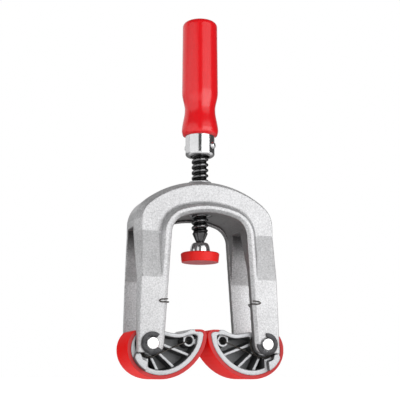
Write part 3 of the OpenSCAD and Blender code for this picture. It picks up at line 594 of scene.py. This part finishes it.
# Painted shade: the thread's roots are darker than its crests.
painted_groove_shade = 0.1
groove_shade_r = (core_r + 0.3 * mm, crest_r - 0.1 * mm)
tree = black_thread.node_tree
spot = wire(tree, "ShaderNodeTexCoord", {}).outputs["Object"]
level = wire(tree, "ShaderNodeVectorMath", {0: spot, 1: (1, 1, 0)}, operation="MULTIPLY")
radius = wire(tree, "ShaderNodeVectorMath", {0: level.outputs[0]}, operation="LENGTH")
shaded(black_thread, ramp(tree, radius.outputs["Value"], *groove_shade_r, painted_groove_shade, 1.0))
lead = 4 * mm
thread_from = 100.7 * mm
thread_to = 158.2 * mm
turn_steps = 48
turns = math.ceil((thread_to - thread_from) / lead) + 2
thread_start = thread_from - lead
rolled_round = 0.2 * mm
rise = [(core_r, 0), (core_r, 0.45 * mm), (core_r + rolled_round, 0.7 * mm), (crest_r - rolled_round, 1.2 * mm),
        (crest_r, 1.45 * mm)]
flank = rise + [(r, lead - z) for r, z in reversed(rise)]
spindle = bmesh.new()
ridge = [spindle.verts.new((r, 0, thread_start + z)) for r, z in flank]
edges = [spindle.edges.new(pair) for pair in zip(ridge, ridge[1:])]
bmesh.ops.spin(spindle, geom=ridge + edges, cent=(0, 0, 0), axis=(0, 0, 1), dvec=(0, 0, lead / turn_steps),
               angle=math.tau * turns, steps=turn_steps * turns)
bmesh.ops.remove_doubles(spindle, verts=spindle.verts, dist=weld)
for level, up in ((thread_from, -1), (thread_to, 1)):
    bmesh.ops.bisect_plane(spindle, geom=[*spindle.verts, *spindle.edges, *spindle.faces], dist=0.0001 * mm,
                           plane_co=(0, 0, level), plane_no=(0, 0, up), clear_outer=True)
    rim = [edge for edge in spindle.edges if edge.is_boundary]
    rim = [edge for edge in rim if all(abs(vert.co.z - level) < weld for vert in edge.verts)]
    bmesh.ops.holes_fill(spindle, edges=rim)
fade = 3.2 * mm
for vert in spindle.verts:
    r = math.hypot(vert.co.x, vert.co.y)
    if r > core_r:
        kept = min(1.0, (vert.co.z - thread_from) / fade)
        scale = (core_r + (r - core_r) * kept) / r
        vert.co.x *= scale
        vert.co.y *= scale
bmesh.ops.recalc_face_normals(spindle, faces=spindle.faces)
piece("screw", spindle, black_thread, "black_steel", "screw", "spindle")


def arc(middle, reach, start, end, steps):
    """Points of an outline round a middle, from one angle to another in degrees."""
    angles = [math.radians(start + (end - start) * step / steps) for step in range(steps + 1)]
    return [(middle[0] + reach[0] * math.cos(a), middle[1] + reach[1] * math.sin(a)) for a in angles]


ball_r = 3.6 * mm
ball_z = 90.3 * mm
neck_r = 2.4 * mm
neck_from = 93.6 * mm
neck_top_r = 5.5 * mm
neck_foot = 0.4 * mm
neck_lap = 0.8 * mm
ball = arc((0, ball_z), (ball_r, ball_r), -90, 30, 12)
neck = turned(ball + [(neck_r, ball[-1][1] + neck_foot), (neck_r, neck_from), (neck_top_r, thread_from),
                      (core_r, thread_from + neck_lap), (0, thread_from + neck_lap)], ease=0.3 * mm)
piece("screw_neck", neck, black_steel, "black_steel", "screw")

# Ball seat: a liner of brass between the ball and its socket, turned from bar.
# It is pressed into the cup and shows from no side, so the CAD solid stays.
seat_brass = finish(
    "seat_brass",
    {"Grains": 900.0, "Patches": 200.0, "Patch share": 0.4, "Dark": (0.6, 0.44, 0.17, 1),
     "Light": (0.78, 0.62, 0.3, 1), "Smooth": 0.2, "Rough": 0.35, "Relief": 0.004 * mm},
    metallic=1.0)
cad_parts["ball_seat"].data.materials.clear()
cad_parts["ball_seat"].data.materials.append(seat_brass)

# Pressure plate: a domed cup on a round disc, turned in one piece from steel and zinc plated.
# The cup is crimped round the screw's ball, so it tilts, and the red cap covers the disc.
low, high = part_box("pressure_plate")
plate_r = high.x
plate_t = 2.2 * mm
cup_r = 7.05 * mm
cup_mouth_r = 4.7 * mm
cup_foot = 87.6 * mm
mouth_r = 3.35 * mm
mouth_d = 2 * mm
cup = turned([(0, low.z), (plate_r, low.z), (plate_r, low.z + plate_t), (cup_r, low.z + plate_t)]
             + arc((cup_mouth_r, cup_foot), (cup_r - cup_mouth_r, high.z - cup_foot), 0, 90, 15)
             + [(mouth_r, high.z), (mouth_r, high.z - mouth_d), (0, high.z - mouth_d)], ease=0.2 * mm)
piece("ball_cup", cup, bright_steel, "bright_steel", "pad", "pressure_plate")

# Pad cap: a soft cap of moulded red plastic that spares the panel's edge.
# It is snapped over the disc of the pressure plate. Its pressing face, which faces down, is painted paler as a
# painted reflection.
red_cap = finish(
    "red_cap",
    {"Grains": 1800.0, "Patches": 90.0, "Patch share": 0.35, "Dark": (0.76, 0.008, 0.006, 1),
     "Light": (0.84, 0.012, 0.01, 1), "Smooth": 0.36, "Rough": 0.5, "Relief": 0.02 * mm},
    metallic=0.0, specular_ior_level=0.3)
# Painted reflection: the downward face gets a paler pink.
painted_face_reflection = (0.64, 0.13, 0.14, 1)
painted_face_turn = (-0.95, -0.75)
tree = red_cap.node_tree
tinted(red_cap, ramp(tree, facing(tree)["Z"], *painted_face_turn, 1.0, 0.0), painted_face_reflection)
low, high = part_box("pad_cap")
cap_r = high.x
cap_foot_r = 12.95 * mm
cap_edge = 0.8 * mm
cap_wall = 2.2 * mm
cap_mouth_r = cup_r + 0.05 * mm
cap = turned([(0, low.z), (cap_foot_r, low.z), (cap_r, high.z - cap_edge), (cap_r - cap_edge, high.z),
              (cap_mouth_r, high.z), (cap_mouth_r, high.z - cap_wall), (plate_r, high.z - cap_wall),
              (plate_r, low.z + cap_wall), (0, low.z + cap_wall)], ease=0.35 * mm)
piece("soft_cap", cap, red_cap, "red_cap", "pad", "pad_cap")

# Ferrule: a cup of sheet steel, deep drawn with a round bottom edge and plated bright.
# It closes the lower end of the handle, and the screw passes through its mouth.
low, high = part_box("ferrule")
ferrule_r = high.x
ferrule_t = 0.9 * mm
ferrule_mouth_r = 7.1 * mm
ferrule_round = 2.4 * mm
inner_round = ferrule_round - ferrule_t
ferrule_top = high.z
corner = (ferrule_r - ferrule_round, low.z + ferrule_round)
outer = arc(corner, (ferrule_round, ferrule_round), -90, 0, 9)
inner = arc(corner, (inner_round, inner_round), 0, -90, 9)
ferrule = turned([(ferrule_mouth_r, low.z)] + outer + [(ferrule_r, ferrule_top), (ferrule_r - ferrule_t, ferrule_top)]
                 + inner + [(ferrule_mouth_r, low.z + ferrule_t), (ferrule_mouth_r, low.z)], ease=0.2 * mm)
piece("handle_ferrule", ferrule, bright_steel, "bright_steel", "screw", "ferrule")

# Handle: turned from beech, with a flare over the ferrule, a waist and a belly, and dipped in red lacquer.
# Its bare spigot sits in the ferrule, with a dark hollow round the screw. The spigot is painted near black, as
# painted shade in that hollow.
red_lacquer = finish(
    "red_lacquer",
    {"Grains": 420.0, "Patches": 40.0, "Patch share": 0.45, "Dark": (0.7, 0.002, 0.006, 1),
     "Light": (0.76, 0.003, 0.008, 1), "Smooth": 0.3, "Rough": 0.4, "Relief": 0.04 * mm},
    metallic=0.0, specular_ior_level=0.04, coat_roughness=0.2, coat_ior=1.54)
handle_z = ferrule_top
dip_z = handle_z - 0.1 * mm
# Painted shade: the unlacquered spigot is near black for the shade inside the ferrule.
painted_spigot_shade = (0.02, 0.014, 0.01, 1)
tree = red_lacquer.node_tree
skin = tree.nodes["Principled BSDF"]
dipped = calc(tree, "GREATER_THAN", place(tree)["Z"], dip_z)
tinted(red_lacquer, calc(tree, "SUBTRACT", 1.0, dipped), painted_spigot_shade)
tree.links.new(dipped, skin.inputs["Coat Weight"])
tree.links.new(skin.inputs["Normal"].links[0].from_socket, skin.inputs["Coat Normal"])
low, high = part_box("handle")
flare_r = 13.15 * mm
waist_r = 11.05 * mm
belly_r = 13.05 * mm
top_r = 12.7 * mm
foot_r = flare_r - 2.2 * mm
foot_edge_r = flare_r - 0.7 * mm
foot_edge_z = handle_z + 0.9 * mm
flare_z = handle_z + 3.6 * mm
waist_z = handle_z + 19.8 * mm
belly_z = handle_z + 32.8 * mm
top_round = 3.5 * mm
dome = 0.6 * mm
curve_steps = 16


def swell(r_from, r_to, z_from, z_to):
    """A smooth stretch of the handle's outline between two radii."""
    return [(r_from + (r_to - r_from) * (1 - math.cos(math.pi * step / curve_steps)) / 2,
             z_from + (z_to - z_from) * step / curve_steps) for step in range(curve_steps + 1)]


top_z = high.z - dome - top_round
spigot_r = ferrule_r - ferrule_t
spigot_edge = 2 * mm
mouth_room = 3.4 * mm
handle = turned([(0, low.z + mouth_room), (ferrule_mouth_r, low.z + mouth_room), (ferrule_mouth_r, low.z),
                 (spigot_r - spigot_edge, low.z), (spigot_r, low.z + spigot_edge), (spigot_r, handle_z),
                 (foot_r, handle_z), (foot_edge_r, foot_edge_z)]
                + swell(flare_r, waist_r, flare_z, waist_z) + swell(waist_r, belly_r, waist_z, belly_z)[1:]
                + arc((top_r - top_round, top_z), (top_round, top_round), 0, 90, 12)
                + [(0, high.z)], ease=0.4 * mm, steps=128)
piece("lacquered_handle", handle, red_lacquer, "red_lacquer", "screw", "handle")

# Rivet: a steel pin through ferrule, handle and screw, which keeps them together.
# Both ends are headed into domes and are zinc plated.
rivet_turn = math.radians(46)
rivet_z = 163.746 * mm
rivet_r = 1.8 * mm
head_r = 2.5 * mm
head_h = 1.6 * mm
head_foot = 0.4 * mm
head = arc((0, ferrule_r), (head_r, head_h), 90, 0, 6)
head += [(head_r, ferrule_r - head_foot), (rivet_r, ferrule_r - head_foot)]
rivet = turned(head + [(r, -z) for r, z in reversed(head)], ease=0.1 * mm, steps=48)
lie = Matrix.Rotation(rivet_turn, 3, "Z") @ Matrix.Rotation(math.radians(90), 3, "X")
bmesh.ops.rotate(rivet, verts=rivet.verts, cent=(0, 0, 0), matrix=lie)
bmesh.ops.translate(rivet, verts=rivet.verts, vec=(0, 0, rivet_z))
piece("handle_rivet", rivet, bright_steel, "bright_steel", "screw", "handle_pin")

# The box of the dressed model
low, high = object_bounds()
